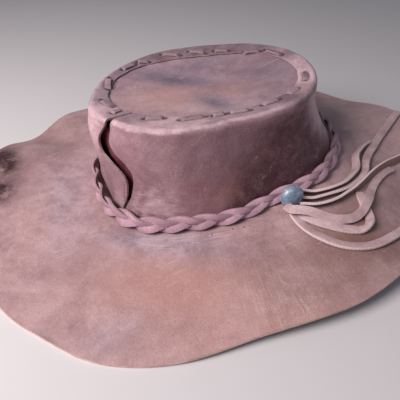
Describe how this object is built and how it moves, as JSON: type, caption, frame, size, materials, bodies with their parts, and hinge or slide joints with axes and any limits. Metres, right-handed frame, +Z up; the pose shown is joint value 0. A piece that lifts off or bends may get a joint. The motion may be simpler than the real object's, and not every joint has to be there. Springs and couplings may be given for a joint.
{
  "type": "outback hat",
  "caption": "Wide-brimmed leather hat with an oval flat-topped crown, a braided lace band, a domed bead and loose lace tails.",
  "frame": {"origin": "on the resting plane, under the middle of the brim's outline", "axes": "+X to the wearer's front, +Y to the wearer's left, +Z up"},
  "size_m": [0.4255, 0.3691, 0.0961],
  "materials": {
    "brim_leather": "worn, matt, thick tan leather with scuffs",
    "crown_leather": "worn, matt, reddish brown leather",
    "top_leather": "worn, matt, greyish tan leather",
    "lace_leather": "flat lace with paler cut edges",
    "bead": "pearly blue-grey, smooth"
  },
  "bodies": {
    "root": {"brim": "brim_leather", "crown_side": "crown_leather", "crown_top": "top_leather", "hatband": "lace_leather", "bead": "bead", "lace_tail_1": "lace_leather", "lace_tail_2": "lace_leather", "lace_tail_3": "lace_leather", "lace_tail_4": "lace_leather", "lace_tail_5": "lace_leather", "lace_tail_6": "lace_leather"}
  },
  "joints": []
}
